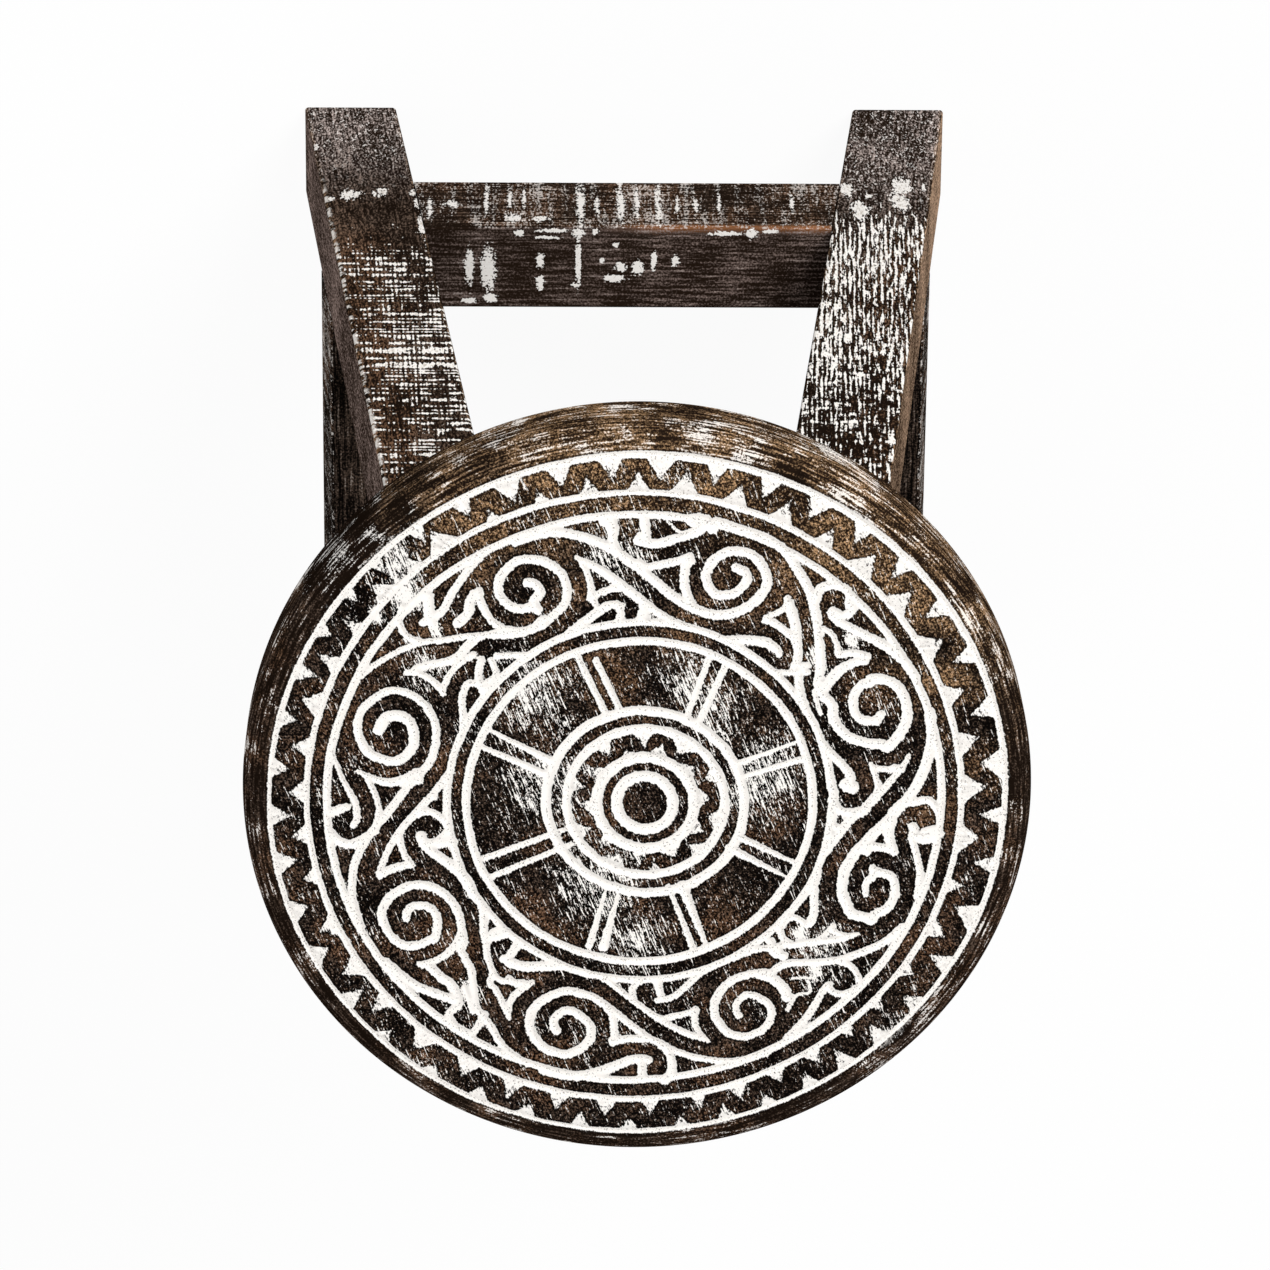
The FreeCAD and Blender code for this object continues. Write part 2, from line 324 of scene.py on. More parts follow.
def make_leg_material(name, paleness):
    """Dark stain with white brushed over the saw marks of the faces that look out to the front and back."""
    material, tree = new_material(name)
    x, y, z = tree.parts(place_in_millimetres(tree))
    inset_x, inset_y = lean_insets(tree, x, y, z)
    upright = x.size() + z * 0.045
    left = x.above(0.0)
    right = left.flipped()
    corner = left * 31.0 + y.above(0.0) * 17.0
    upper_leg = z.step(200.0, 300.0)

    hatched_face = inset_y.step(0.5, 1.0).flipped()
    side_face = inset_x.step(0.5, 1.0).flipped() * hatched_face.flipped()
    facing_out = hatched_face.highest(side_face)
    grit = tree.noise(tree.vector(x * 1.25, y * 1.25, z * 0.5))
    clots = tree.noise(tree.vector(x * 0.5, y * 0.5, z * 0.22))
    grain = tree.noise(tree.vector(inset_x * 0.9, inset_y * 0.9, z * 0.06 + corner), detail=3.0)
    clouds = tree.noise(tree.vector(upright * 0.06, corner, z * 0.022), roughness=0.5)
    rows = tree.noise(tree.vector(upright * 0.15, corner, z * 0.25), roughness=0.5)
    columns = tree.noise(tree.vector(upright * 0.85, corner + 3.0, z * 0.05), roughness=0.5)
    threads = tree.noise(tree.vector(upright * 0.68, corner, z * 0.075), detail=2.5)
    slip = tree.noise(tree.vector(corner, 0.0, z * 0.04), roughness=0.5)
    grit_swing, clot_swing, cloud_swing, row_swing, column_swing, slip_swing = swings(
        grit, clots, clouds, rows, columns, slip
    )

    row_wave = ((z + slip_swing * 30.0) * (math.tau / row_pitch)).sine()
    column_wave = (upright * (math.tau / column_pitch)).sine()
    woven = rows * 0.85 + row_wave * 0.115 + column_wave * 0.06 + column_swing * 0.5 + cloud_swing * 0.35
    woven = woven + inset_x.step(2.0, 20.0) * 0.07 + z.step(118.0, 168.0) * 0.28 - 0.315
    combed = threads + column_wave * 0.05 + cloud_swing * 0.24 + row_swing * upper_leg * 0.6
    combed = combed + z.step(85.0, 130.0) * 0.28 - 0.257 - z.step(240.0, 330.0) * 0.045
    brushed = (left * woven + right * combed + grit_swing * 0.35).step(0.53, 0.58)
    arris = (inset_x + grit_swing * 3.5).step(0.8, 2.3).flipped() * rows.step(0.48, 0.54) * z.step(60.0, 100.0)
    blotched = marks(tree, x, z, leg_blotches) * 1.1 + clot_swing * 1.8 + grit_swing * 1.6 + paleness
    blotched = blotched.step(0.34, 0.52) * 0.9
    foot = (z + grit_swing * 60.0 + cloud_swing * 60.0 - right * 30.0).step(30.0, 110.0).flipped()
    specks = (grit * 0.6 + clots * 0.4).step(0.555, 0.635) * foot * 0.75
    white = brushed.highest(blotched).highest(arris * left * 0.8).highest(specks) * hatched_face

    inner_half = (inset_x + cloud_swing * 40.0).step(12.0, 30.0)
    # Painted light: the right legs' outer side faces, on the main lamp's side, get a little more tone.
    shade = grit * 0.6 + grain * 0.4 + cloud_swing * 0.2 + side_face * right * 0.03
    shade = (shade + inner_half.flipped() * 0.015 - upper_leg * right * 0.05).step(0.46, 0.71)
    front_high = tree.blend((inner_half + z.step(110.0, 170.0).flipped()) * 0.85, mid_brown, grey_brown)
    front_high = tree.blend(foot, front_high, pale_mauve)
    # Painted light: the right legs' outer side faces are a lighter, warmer copy of the left legs' ones.
    side_high_with_painted_light = tree.blend(left, lit_side_warm_grey, mauve_brown)
    # Painted shade: the faces turned in under the seat, neither front, back nor outer side, keep a black low and a
    # dark brown high.
    low = tree.blend(foot.highest(side_face).highest(facing_out * 0.55), black_stain, brown_shadow)
    high = tree.blend(hatched_face, painted_shade_brown, front_high)
    high = tree.blend(side_face, high, side_high_with_painted_light)
    inset = hatched_face * inset_x + side_face * inset_y
    edge = inset.size().lowest((inset - leg_width / mm).size())
    worn = (edge + grit_swing * 4.0).step(0.3, 2.2).flipped() * facing_out * 0.5
    high = tree.blend(worn, high, golden_brown)
    # Painted shade: those inner faces also go only 45 per cent of the way from low to high.
    brown = tree.blend(shade * (facing_out * 0.55 + 0.45), low, high)
    tint = tree.blend(white, brown, tree.blend(grit.step(0.30, 0.55), dull_paste, white_paste))
    finish_material(tree, tint, grain * 0.5 + grit * 0.4 + white * 0.12, stock_relief)
    return material


# Paste left on the front stretcher, on its face (sideways and up) and on its top (sideways and back),
# each with its half width and half length
face_bars = [
    (84, 108, 1.5, 12), (20, 103, 2.1, 24), (3, 101, 2, 26), (-4, 101, 1.1, 22), (-13, 104, 1.7, 24),
    (-29, 104, 1.2, 9), (-21, 104, 1.1, 11), (-39, 100, 0.9, 12), (-70, 101, 1.1, 9), (75, 104, 3.8, 4),
    (49, 118, 4.4, 5), (37, 119, 4, 3), (50, 97, 1.3, 12), (60, 99, 1.1, 18), (44, 98, 1, 12), (13, 106, 1.3, 12),
]
top_bars = [
    (67, -108, 2.1, 9), (59, -107, 3.6, 11), (58, -94, 3.2, 2.5), (67, -93, 3.8, 1.2), (46, -123, 2.4, 1.8),
    (32, -124, 7.6, 1), (34, -121, 5.8, 0.9), (37, -111, 2.1, 3.8), (37, -101, 1.9, 3.8), (21, -123, 2.8, 2.5),
    (21, -110, 1.5, 13), (14, -124, 1.7, 1.7), (11, -111, 1.3, 1.2), (5, -118, 1.7, 1.2), (3, -108, 3, 2.3),
    (6, -103, 5, 2.1), (-4, -108, 2.7, 3.6), (-11, -111, 1.4, 4.6), (-20, -111, 1.9, 2.5), (-41, -123, 8, 1.2),
    (-52, -123, 3, 2.3), (-60, -124, 4.2, 0.9), (22, -100, 2.4, 1),
]


def make_rail_material(name, across_front, worn_on_top):
    """Dark stain on a rail, across the front or along the side, with pale bands over its grain."""
    material, tree = new_material(name)
    place = place_in_millimetres(tree)
    x, y, z = tree.parts(place)
    inset_x, inset_y = lean_insets(tree, x, y, z)
    length, depth = (x, inset_y) if across_front else (y, inset_x)

    grain = tree.noise(tree.vector(length * 0.05, depth * 0.85, z * 0.85), detail=3.0)
    grit = tree.noise(tree.vector(x * 1.15, y * 1.15, z * 0.55))
    clots = tree.noise(tree.vector(x * 0.55, y * 0.55, z * 0.3))
    clouds = tree.noise(place, 0.05, roughness=0.5)
    bands = tree.noise(tree.vector(length * 0.22, depth * 0.02, z * 0.02), detail=3.0, roughness=0.7)
    grain_swing, grit_swing, clot_swing, cloud_swing = swings(grain, grit, clots, clouds)
    outer_face = depth.step(0.5, 1.0).flipped()
    banded = bands * 0.7 + grit_swing * 0.9 + cloud_swing * 0.4 + grain_swing * 0.6
    white = banded.step(0.42, 0.54) * outer_face * 0.65
    lines = (grain + grit_swing * 0.5 + cloud_swing * 0.3).step(0.66, 0.74) * 0.45
    shade = (grit * 0.45 + grain * 0.55 + cloud_swing * 0.2).step(0.455, 0.70)
    high = tree.blend(outer_face * clouds.step(0.40, 0.60), grey_brown, mid_brown)
    low = black_stain
    if worn_on_top:
        over_top = z - stretcher_top / mm
        top_face = over_top.step(-0.9, -0.3)
        towards_right = (x * -1.0).step(-25.0, 25.0)
        loose = clot_swing * 1.6 + grit_swing * 1.8 + grain_swing * 1.4
        on_face = (marks(tree, x, z, face_bars) * 0.7 + loose).step(0.10, 0.32) * outer_face * 0.85
        on_top = (marks(tree, x, y, top_bars) + loose * 0.8 + 0.10).step(0.20, 0.38) * top_face
        edge = depth.size() + over_top.size()
        worn = (edge + grit_swing * 8.0 + grain_swing * 5.0).step(0.5, 3.5).flipped() * towards_right
        # Painted shade: faces other than the outer face and the top keep a black low.
        low = tree.blend(top_face.highest(outer_face * 0.7), black_stain, brown_shadow)
        high = tree.blend(top_face, high, mauve_brown)
        high = tree.blend(worn * outer_face.highest(top_face), high, rust_brown)
        shade = (shade + worn * 0.4) * (top_face * towards_right.flipped() * 0.25).flipped()
        white = (white * 0.7).highest(on_face).highest(on_top)
    # Painted shade: faces other than the outer one, inside and under the stool, go only 65 per cent of the way from
    # low to high.
    brown = tree.blend(shade * (outer_face * 0.35 + 0.65), low, high)
    white = white.highest(lines * (outer_face * 0.5 + 0.3))
    tint = tree.blend(white, brown, tree.blend(grit.step(0.25, 0.45), dull_paste, white_paste))
    finish_material(tree, tint, grain * 0.6 + grit * 0.3 + white * 0.12, stock_relief)
    return material


def make_screw_material():
    """Dull steel, a little uneven."""
    material, tree = new_material("screw_steel")
    turning = tree.noise(place_in_millimetres(tree), 2.0, roughness=0.5)
    tint = tree.blend(turning, dark_steel, bright_steel)
    finish_material(tree, tint, turning, screw_relief, steel_shine, 0.4)
    return material


# The seat blank: rings of points from the middle of the top, over the rim, to the middle underneath
carved_radius = 141.6 * mm
top_rounding = 10 * mm
bottom_chamfer = 4 * mm
point_spacing = 0.93 * mm
row_spacing = point_spacing * 0.87
rim_points = 480
rounding_steps = 9
wall_shares = (0.2, 0.4, 0.6, 0.8, 1.0)
chamfer_shares = (0.25, 0.5, 0.75, 1.0)
# Rings underneath: share of the flat radius, and number of points
underside_rings = ((0.94, 240), (0.88, 160), (0.75, 120), (0.55, 80), (0.35, 48), (0.15, 24))


def blank_rings():
    """Radius, height and number of points of each ring."""
    rows = round(carved_radius / row_spacing)
    rings = []
    flat = seat_radius - top_rounding
    for row in range(1, rows + 1):
        radius = carved_radius * row / rows
        past_flat = max(radius - flat, 0.0)
        height = seat_top - top_rounding + math.sqrt(top_rounding ** 2 - past_flat ** 2)
        rings.append((radius, height, round(math.tau * radius / point_spacing)))
    first_turn = math.asin((carved_radius - flat) / top_rounding)
    for step in range(1, rounding_steps + 1):
        turn = first_turn + (math.pi / 2 - first_turn) * step / rounding_steps
        height = seat_top - top_rounding * (1 - math.cos(turn))
        rings.append((flat + top_rounding * math.sin(turn), height, rim_points))
    wall_high = seat_top - top_rounding
    wall_low = seat_underside + bottom_chamfer
    for share in wall_shares:
        rings.append((seat_radius, wall_high + (wall_low - wall_high) * share, rim_points))
    for share in chamfer_shares:
        rings.append((seat_radius - bottom_chamfer * share, wall_low - bottom_chamfer * share, rim_points))
    for share, points in underside_rings:
        rings.append(((seat_radius - bottom_chamfer) * share, seat_underside, points))
    return rings


def join_rings(first, second):
    """Triangles between two rings, each given as its first point's number and its number of points."""
    start_a, count_a = first
    start_b, count_b = second
    a = b = 0
    faces = []
    while a < count_a or b < count_b:
        point_a = start_a + a % count_a
        point_b = start_b + b % count_b
        if b >= count_b or (a < count_a and (a + 1) * count_b <= (b + 1) * count_a):
            faces.append((point_a, point_b, start_a + (a + 1) % count_a))
            a += 1
        else:
            faces.append((point_a, point_b, start_b + (b + 1) % count_b))
            b += 1
    return faces


def make_seat_blank():
    """A closed mesh of the rings, with a point in the middle of its top and its underside."""
    points = [(0.0, 0.0, seat_top)]
    spans = []
    for radius, height, count in blank_rings():
        spans.append((len(points), count))
        for number in range(count):
            turn = math.tau * number / count
            points.append((radius * math.cos(turn), radius * math.sin(turn), height))
    points.append((0.0, 0.0, seat_underside))
    start, count = spans[0]
    faces = [(0, start + number, start + (number + 1) % count) for number in range(count)]
    for first, second in zip(spans, spans[1:]):
        faces += join_rings(first, second)
    start, count = spans[-1]
    last = len(points) - 1
    faces += [(start + number, last, start + (number + 1) % count) for number in range(count)]
    mesh = bpy.data.meshes.new("seat_blank")
    mesh.from_pydata(points, [], faces)
    return mesh


# The carving. Scroll grooves: half width at the start, middle and end, then pairs of numbers, sideways and
# back from the middle of the seat, all in tenths of a millimetre. The scroll runs round the band eight times.
tenth = 0.1 * mm
scroll_grooves = [
    ((11, 19, 19), [1072, -473, 993, -544, 903, -601, 814, -637, 733, -646, 649, -662, 569, -667, 502, -691,
      451, -684, 392, -701, 366, -729, 340, -731, 313, -756, 283, -789, 271, -846, 288, -904, 330, -948, 391, -970,
      453, -966, 495, -935, 525, -890, 527, -838, 501, -797, 454, -772, 398, -779, 382, -767, 396, -806, 373, -832,
      377, -854, 399, -877, 420, -877]),
    ((13, 21, 11), [215, -967, 161, -938, 58, -861, -89, -746, -208, -696]),
    ((10, 13, 16), [237, -982, 204, -934, 190, -894, 182, -859, 185, -812]),
    ((12, 15, 18), [161, -776, 170, -820, 135, -843, 61, -861, 21, -832]),
    ((20, 18, 15), [265, -672, 140, -774, 96, -791, 74, -783, 69, -741]),
    ((12, 12, 12), [63, -788, 81, -723]),
    ((22, 22, 22), [-15, -800, -20, -768, -5, -732]),
    ((28, 28, 28), [-15, -753, -15, -751]),
    ((15, 16, 18), [580, -998, 635, -936, 672, -880, 708, -826, 732, -772, 757, -747, 807, -716]),
    ((23, 23, 23), [791, -819, 785, -719]),
    ((14, 14, 14), [887, -781, 899, -732, 889, -686, 863, -655, 821, -641]),
    ((20, 20, 19), [619, -829, 635, -797, 640, -760, 682, -712]),
    ((17, 16, 15), [601, -844, 595, -804, 556, -728, 514, -699]),
    ((20, 20, 19), [465, -1040, 350, -1077, 236, -1066, 125, -1024, 47, -973, -18, -919, -80, -864, -122, -827,
      -168, -795, -218, -769, -268, -753, -315, -752, -358, -761, -403, -783, -445, -818, -473, -866, -472, -912,
      -442, -970, -401, -998, -342, -1006, -305, -993, -266, -960, -254, -932, -246, -908, -259, -867, -282, -835,
      -318, -831, -361, -843, -398, -887, -394, -921, -358, -940]),
    ((23, 20, 17), [-557, -805, -585, -708, -597, -582, -582, -541]),
    ((14, 13, 12), [-554, -820, -543, -778, -472, -739]),
    ((15, 15, 15), [-474, -729, -505, -719, -569, -668, -591, -624, -599, -568]),
    ((20, 22, 14), [-330, -649, -410, -650, -478, -640, -505, -619, -521, -608, -526, -592]),
    ((12, 13, 14), [-512, -520, -575, -520, -633, -522]),
    ((18, 18, 18), [-601, -506, -608, -443, -634, -361]),
    ((32, 32, 32), [-610, -541, -621, -537]),
    ((35, 20, 18), [-266, -1110, -198, -1125, -215, -1091, -145, -1061, -65, -1036, 5, -1044, 2, -1063]),
    ((19, 20, 21), [-24, -1048, -15, -1126]),
    ((33, 18, 18), [121, -1126, 103, -1096, 100, -1035, 60, -977, 10, -941]),
    ((16, 17, 17), [2, -960, -35, -943, -141, -966, -187, -985]),
    ((21, 19, 19), [-179, -973, -186, -965, -169, -940, -170, -855, -198, -785]),
    ((13, 10, 8), [-663, -444, -673, -392, -689, -352]),
    ((5, 7, 10), [-93, -1132, -149, -1081, -201, -1092]),
    ((19, 22, 18), [-284, -1124, -503, -1039, -592, -929, -640, -835, -663, -742, -677, -641, -682, -540, -676, -467,
      -699, -425, -731, -385, -734, -336, -760, -293, -799, -257, -861, -234, -923, -228, -945, -218, -988, -271,
      -1012, -332, -1005, -410, -974, -466, -931, -489, -876, -496, -868, -479, -835, -466, -810, -421, -810, -378,
      -830, -337, -861, -325, -898, -321, -901, -332, -915, -351]),
    ((10, 21, 19), [-1023, -183, -999, -134, -895, 2, -870, 21, -853, 50, -824, 63, -777, 123, -713, 220]),
    ((12, 17, 12), [-1008, -151, -997, -125, -972, -133, -950, -124, -894, -134]),
    ((11, 14, 15), [-881, -147, -906, -80, -906, -32, -862, 28]),
    ((16, 19, 27), [-692, -241, -732, -187, -781, -136, -807, -91, -788, -63, -813, -52]),
    ((20, 20, 19), [-738, 2, -770, 44, -819, 50, -870, 36]),
    ((18, 19, 19), [-789, 108, -767, 118, -738, 95, -739, 25]),
    ((37, 37, 37), [-794, 53, -791, 52]),
    ((20, 19, 17), [-1041, -499, -997, -567, -916, -633, -847, -670, -787, -703, -740, -732, -717, -760]),
    ((20, 20, 20), [-795, -793, -797, -775, -783, -757]),
    ((21, 18, 15), [-655, -806, -679, -859, -731, -871, -779, -850, -783, -790]),
    ((9, 13, 18), [-687, -670, -684, -700, -723, -672, -745, -627, -750, -593, -807, -599, -857, -585]),
    ((16, 19, 23), [-851, -565, -815, -563, -751, -526, -690, -444]),
    ((20, 20, 20), [-724, -767, -738, -758, -759, -747]),
    ((17, 21, 20), [-715, -172, -728, -90, -743, -15, -736, 91, -721, 196]),
    ((22, 22, 13), [-1099, -360, -1110, -253, -1086, -135, -1044, -36, -992, 32, -945, 91, -894, 144, -866, 179,
      -839, 207, -812, 250, -791, 293, -786, 333, -784, 378, -800, 427, -826, 472, -868, 484, -901, 497, -912, 476,
      -961, 444, -986, 387, -975, 322, -939, 303, -904, 289, -899, 279, -904, 312, -884, 329, -873, 348, -873, 368,
      -875, 392]),
    ((12, 16, 14), [-843, 558, -819, 566, -791, 576, -741, 584, -686, 590, -642, 596, -604, 603, -562, 603, -519, 614,
      -450, 625, -375, 659]),
    ((12, 12, 9), [-751, 519, -755, 545, -814, 565, -848, 556]),
    ((12, 13, 13), [-755, 524, -702, 578, -667, 587]),
    ((19, 18, 18), [-689, 294, -677, 360, -678, 467, -660, 512]),
    ((15, 15, 15), [-552, 533, -558, 568, -587, 594]),
    ((21, 21, 20), [-514, 591, -528, 630, -567, 648]),
    ((28, 28, 28), [-538, 617, -546, 620]),
    ((16, 15, 20), [-1072, 398, -1080, 311, -1069, 247, -1054, 193, -1045, 150, -1056, 123, -1047, 109]),
    ((33, 35, 37), [-1047, 155, -1130, 138]),
    ((15, 18, 21), [-1148, 62, -1111, 4, -1055, 6, -1006, 14, -985, 33]),
    ((23, 21, 16), [-971, 50, -956, 146, -982, 216]),
    ((19, 18, 18), [-875, 213, -886, 190, -920, 194, -974, 208]),
    ((13, 13, 13), [-649, 523, -616, 492, -584, 492, -559, 521]),
    ((16, 18, 13), [-1017, 525, -954, 587, -853, 638, -762, 668, -672, 677, -596, 678, -542, 697, -522, 722,
      -488, 718, -432, 727, -385, 745, -352, 767, -325, 798, -304, 844, -306, 899, -323, 934, -359, 973, -413, 989,
      -458, 978, -494, 955, -518, 919, -524, 884, -508, 850, -482, 829, -453, 816, -425, 814, -403, 829, -388, 851,
      -387, 885, -396, 903, -402, 900]),
    ((14, 14, 12), [-266, 998, -222, 985, -126, 939, -40, 878, 83, 775, 124, 749]),
    ((9, 15, 15), [-280, 1009, -235, 952, -227, 890, -234, 880]),
    ((13, 14, 13), [-230, 871, -208, 888, -137, 908, -100, 914, -58, 895]),
    ((14, 14, 14), [-277, 700, -238, 732, -148, 819, -84, 839]),
    ((16, 16, 17), [-101, 836, -82, 754]),
    ((14, 14, 13), [8, 825, 14, 791, -8, 764, -42, 749]),
    ((15, 15, 15), [3, 842, 3, 842]),
    ((17, 15, 13), [-586, 996, -651, 919, -691, 851, -715, 802, -735, 772, -746, 767]),
    ((14, 15, 15), [-740, 780, -766, 805, -808, 807, -847, 784]),
    ((15, 14, 14), [-765, 668, -811, 682, -843, 714, -857, 750]),
    ((7, 7, 10), [-660, 753, -669, 802, -618, 815, -584, 876]),
    ((22, 23, 22), [-598, 826, -582, 821, -573, 790, -525, 743, -474, 725]),
    ((6, 7, 7), [-592, 744, -636, 741, -675, 740]),
    ((13, 20, 18), [-505, 1063, -382, 1093, -265, 1085, -176, 1059, -96, 1023, -19, 970, 50, 913, 89, 880, 123, 852,
      162, 825, 210, 808, 250, 799, 295, 805, 350, 832, 388, 869, 406, 916, 400, 971, 362, 1028, 314, 1056, 267, 1066,
      218, 1048, 186, 1018, 170, 985, 173, 946, 197, 916, 226, 891, 251, 881, 281, 885, 310, 914, 314, 946,
      302, 967]),
    ((13, 14, 20), [487, 903, 531, 803, 560, 764, 550, 724, 572, 640, 572, 598, 582, 554, 587, 448, 617, 402]),
    ((7, 15, 13), [486, 918, 475, 830, 400, 762]),
    ((19, 15, 11), [433, 767, 468, 764, 487, 745, 494, 758, 530, 748, 546, 714]),
    ((19, 23, 21), [505, 663, 497, 665, 485, 675, 444, 692, 387, 695, 293, 692]),
    ((18, 19, 20), [491, 661, 451, 600]),
    ((29, 30, 26), [574, 579, 523, 555, 500, 554]),
    ((37, 37, 37), [555, 569, 553, 568]),
    ((23, 21, 18), [350, 1132, 228, 1158, 134, 1138, 63, 1109, 11, 1088, -37, 1085, -52, 1090]),
    ((18, 19, 19), [-25, 1087, -30, 1169]),
    ((22, 18, 15), [-115, 1176, -142, 1140, -141, 1093, -125, 1051, -97, 1028]),
    ((16, 15, 18), [-127, 1037, -75, 1007, -14, 998, 88, 1006]),
    ((19, 15, 15), [85, 1014, 79, 986, 87, 912, 109, 875]),
    ((15, 19, 17), [416, 1108, 506, 1035, 567, 929, 610, 870, 622, 783, 635, 703, 670, 629, 658, 594, 666, 547,
      675, 490, 696, 441, 724, 404, 758, 375, 809, 356, 867, 359, 909, 381, 951, 418, 973, 474, 957, 536, 926, 581,
      884, 608, 828, 605, 788, 583, 770, 579, 762, 539, 760, 498, 779, 459, 812, 441, 857, 445, 876, 469, 880, 495]),
    ((13, 15, 15), [983, 312, 948, 216, 896, 123, 853, 72, 771, -26, 714, -108]),
    ((17, 18, 17), [979, 315, 923, 285, 861, 270]),
    ((15, 13, 13), [857, 274, 890, 218, 901, 147, 875, 100]),
    ((22, 21, 23), [822, 152, 808, 186, 780, 218, 726, 260, 662, 317, 624, 394]),
    ((22, 22, 22), [793, 185, 702, 178]),
    ((12, 12, 12), [802, 2, 770, -5]),
    ((18, 16, 17), [838, 61, 800, 52, 753, 71, 718, 119, 750, 167]),
    ((19, 20, 18), [959, 676, 895, 737, 837, 781, 775, 807, 718, 830, 679, 848]),
    ((17, 17, 18), [680, 824, 678, 858, 705, 880, 717, 905, 699, 939]),
    ((16, 16, 17), [579, 897, 604, 944, 634, 979, 683, 952]),
    ((21, 20, 14), [686, 814, 710, 770, 757, 733, 791, 696, 830, 687]),
    ((13, 16, 19), [816, 685, 770, 673, 722, 641, 685, 597, 669, 558]),
    ((13, 13, 13), [657, 783, 639, 836, 624, 888]),
    ((17, 16, 23), [1052, 527, 1082, 421, 1082, 311, 1056, 218, 1000, 126, 929, 30, 862, -62, 827, -76, 825, -100,
      794, -143, 770, -199, 763, -255, 767, -310, 791, -365, 836, -413, 894, -440, 952, -436, 1014, -394, 1047, -351,
      1059, -286, 1046, -235, 1014, -186, 970, -164, 924, -153, 880, -175, 849, -221, 847, -265, 860, -311, 897, -339,
      950, -333, 979, -281]),
    ((17, 18, 18), [854, -517, 809, -541, 699, -568, 642, -627, 609, -655, 563, -668, 454, -674, 355, -711]),
    ((11, 15, 13), [872, -516, 831, -513, 771, -478, 736, -430]),
    ((13, 13, 15), [738, -432, 729, -471, 707, -513, 671, -555, 623, -587]),
    ((14, 15, 16), [668, -245, 661, -325, 664, -413, 642, -471, 602, -471, 603, -517, 593, -569]),
    ((13, 12, 14), [556, -569, 538, -510, 575, -473]),
    ((14, 13, 12), [536, -583, 484, -585, 430, -589]),
    ((27, 27, 27), [601, -486, 583, -453]),
    ((8, 14, 15), [1166, -219, 1119, -87, 1071, 14, 1064, 78, 1079, 108]),
    ((17, 19, 20), [1103, 34, 1166, 57]),
    ((19, 20, 20), [1165, 136, 1131, 176, 1081, 186, 1016, 150]),
    ((17, 12, 14), [998, 133, 981, 33, 1022, -83]),
    ((9, 21, 21), [1061, -113, 959, -68, 889, -78, 833, -108]),
]

# Carved rings: centre sideways and back, radius, half widths round the ring from its left by way of the back,
# and how far out of round, in millimetres
rim_ring, tooth_ring, band_outside, band_inside, wheel_ring, hub_ring, hub_outside, hub_inside, hub_middle = (
    (0.1, 0.3, 139.2, (1, 1, 1.2, 1.6, 1), 0.3, 0.7),
    (1.3, 0.9, 124.4, (1.3, 1.3), -0.3, 0),
    (1.2, 1.2, 116.4, (1.6, 1.6), 0.2, 0.2),
    (-0.8, 1.5, 73.3, (1.6, 1.6), -0.3, -0.1),
    (-0.7, 1.3, 65.8, (1.7, 1.7), -0.1, 0.1),
    (-2.9, 1.1, 37.5, (2, 2), 0.1, -0.6),
    (-3, 1, 30, (1.9, 1.9), 0, -0.3),
    (-3, 1.4, 18.6, (2.3, 2.3), -0.1, -0.2),
    (-2.7, 1.3, 10.8, (2.3, 2.3), -0.1, -0.2),
)
# Chipped teeth on a ring: clock angle from the front, depth, half width at the ring, and how far the tip leans
rim_teeth = [
    (3.2, 9.8, 6.3, 0), (12, 9.6, 4.4, 0), (20.7, 9.9, 4.6, -0.6), (29.2, 9.8, 5, -0.8), (36.9, 8.9, 4.4, 1.6),
    (45.9, 9.7, 4.2, 0.6), (55.4, 9.9, 4.5, -0.8), (64.5, 9.2, 4.3, -0.2), (73.7, 9.7, 4.9, 1.6),
    (83.7, 8.9, 6.8, -1.6), (92.4, 9.8, 4.1, 0), (101, 9.3, 3.6, 0.4), (110.7, 9.9, 6.1, -2.4), (119.7, 9.8, 4.4, 0),
    (128.1, 8, 4.2, 0.4), (136.3, 8.9, 4.3, -0.6), (143.3, 9.7, 4.4, 0.6), (150.3, 7.2, 4, -0.2),
    (157.7, 6.1, 3.6, 0.6), (164.9, 7, 3.7, 0.2), (172.2, 5.3, 3.5, 0.8), (180.9, 5.7, 4, -0.2),
    (188.8, 7.3, 3.8, 0.6), (197.7, 6, 4.4, -0.2), (205.8, 6.3, 4.6, 1.2), (214.8, 5.1, 4.1, -0.8),
    (224.6, 5.7, 3.9, -1), (232.8, 9.7, 4.1, 0.2), (242.1, 7.2, 5.3, 0.8), (250.6, 7.6, 5, 0), (259.1, 8.8, 5, 0),
    (267.4, 8, 4.7, -0.8), (275.5, 7.6, 4.3, -0.4), (283.8, 6.8, 4, 0.8), (292.1, 8.5, 3.8, 1.2),
    (300.1, 6, 3.7, -0.4), (307.5, 5.9, 3.5, -0.2), (314.2, 6.9, 3.2, 0.2), (322.5, 7.6, 3.6, 0),
    (330.8, 8.5, 4.1, 0.4), (338.7, 9.9, 5.9, 0.2), (347.1, 9.1, 5.3, 0), (355.2, 9.8, 4.9, 0.4),
]
